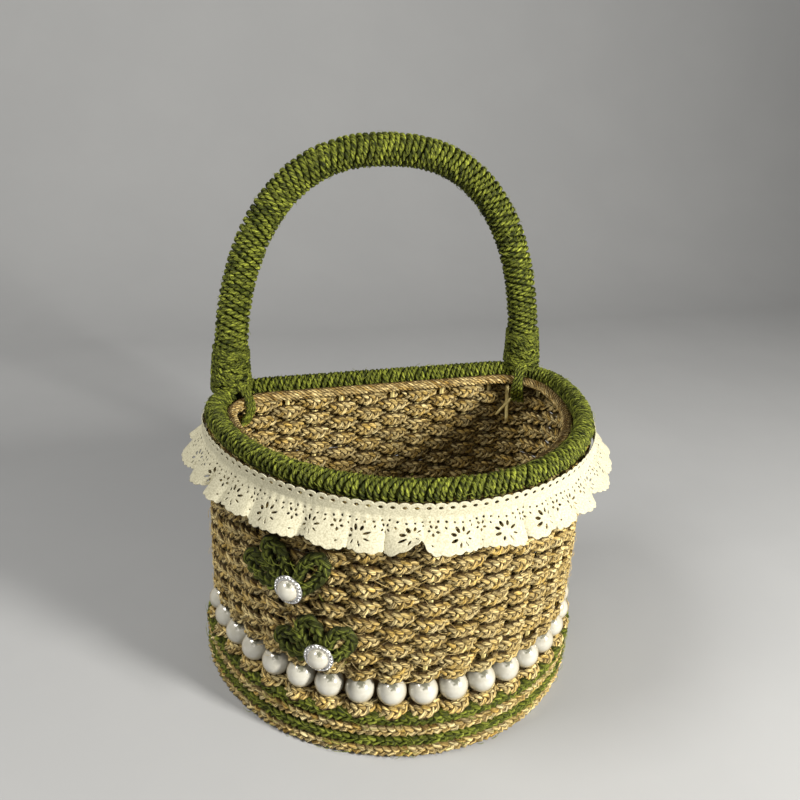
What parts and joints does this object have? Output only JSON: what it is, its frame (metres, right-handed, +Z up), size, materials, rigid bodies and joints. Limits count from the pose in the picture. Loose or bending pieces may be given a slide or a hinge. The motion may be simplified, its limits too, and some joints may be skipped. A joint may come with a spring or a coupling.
{
  "type": "woven rope basket with handle",
  "caption": "Half-round rope basket woven on upright stakes, with a wrapped rim and fixed arched handle, lace trim, a pearl string and cord flowers.",
  "frame": {"origin": "on the underside of the base board, at the middle of the widest line of the plan", "axes": "+Z up towards the handle, +Y towards the straight back wall, +X to the right seen from the round front"},
  "size_m": [0.1942, 0.1382, 0.2358],
  "materials": {
    "jute_rope": "rough natural jute",
    "jute_braid": "rough natural jute, braided",
    "green_braid": "dyed jute, braided",
    "green_cord": "dyed two-ply jute cord",
    "tan_cord": "fine jute cord",
    "base_board": "plain board",
    "bamboo": "split bamboo",
    "handle_core": "bent cane",
    "cotton_lace": "cream cotton lace",
    "pearl": "pearl lustre",
    "flower_cord": "dyed braided cord",
    "silver_bezel": "bright metal"
  },
  "bodies": {
    "root": {"base_board": "base_board", "base_braid_1": "jute_braid", "base_braid_2": "green_braid", "base_braid_3": "jute_braid", "base_braid_4": "green_braid", "weave_rope": "jute_rope", "weave_foot_row": "jute_rope", "weave_head_row": "jute_rope", "stake_01": "bamboo", "stake_02": "bamboo", "stake_03": "bamboo", "stake_04": "bamboo", "stake_05": "bamboo", "stake_06": "bamboo", "stake_07": "bamboo", "stake_08": "bamboo", "stake_09": "bamboo", "stake_10": "bamboo", "stake_11": "bamboo", "stake_12": "bamboo", "stake_13": "bamboo", "stake_14": "bamboo", "stake_15": "bamboo", "stake_16": "bamboo", "stake_17": "bamboo", "stake_18": "bamboo", "stake_19": "bamboo", "stake_20": "bamboo", "stake_21": "bamboo", "stake_22": "bamboo", "stake_23": "bamboo", "stake_24": "bamboo", "stake_25": "bamboo", "stake_26": "bamboo", "stake_27": "bamboo", "stake_28": "bamboo", "stake_29": "bamboo", "stake_30": "bamboo", "stake_31": "bamboo", "stake_32": "bamboo", "stake_33": "bamboo", "stake_34": "bamboo", "stake_35": "bamboo", "pearl_strand": "pearl", "rim_core": "bamboo", "rim_wrap": "green_cord", "inner_ring": "tan_cord", "handle_wrap": "green_cord", "handle_core": "handle_core", "handle_lashing_left": "green_cord", "handle_lashing_right": "green_cord", "lace_trim": "cotton_lace", "flower_upper": "flower_cord", "bezel_upper": "silver_bezel", "pearl_cabochon_upper": "pearl", "flower_lower": "flower_cord", "bezel_lower": "silver_bezel", "pearl_cabochon_lower": "pearl"}
  },
  "joints": []
}
